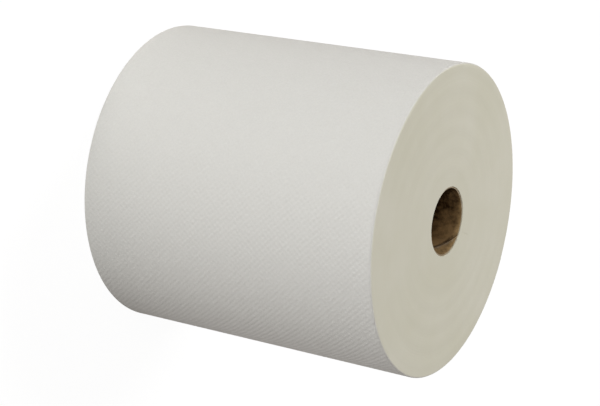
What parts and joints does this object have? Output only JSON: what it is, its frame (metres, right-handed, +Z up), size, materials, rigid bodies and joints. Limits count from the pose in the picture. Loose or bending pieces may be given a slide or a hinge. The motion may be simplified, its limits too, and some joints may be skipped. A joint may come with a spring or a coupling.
{
  "type": "paper towel roll",
  "caption": "Wide hard-wound roll of white embossed paper towel on an open spiral-wound cardboard core, standing on one end.",
  "frame": {"origin": "centre of the end that the roll stands on, on the core's axis", "axes": "+Z runs up the roll's axis, from the standing end to the other end; the tail of the outer turn lies 75 degrees round from +X, towards +Y"},
  "size_m": [0.1947, 0.1947, 0.2032],
  "materials": {
    "towel_paper": "matt, soft, finely embossed, with cream cut edges at the ends",
    "core_board": "matt brown paperboard"
  },
  "bodies": {
    "root": {"paper_roll": "towel_paper", "core_tube": "core_board"}
  },
  "joints": []
}
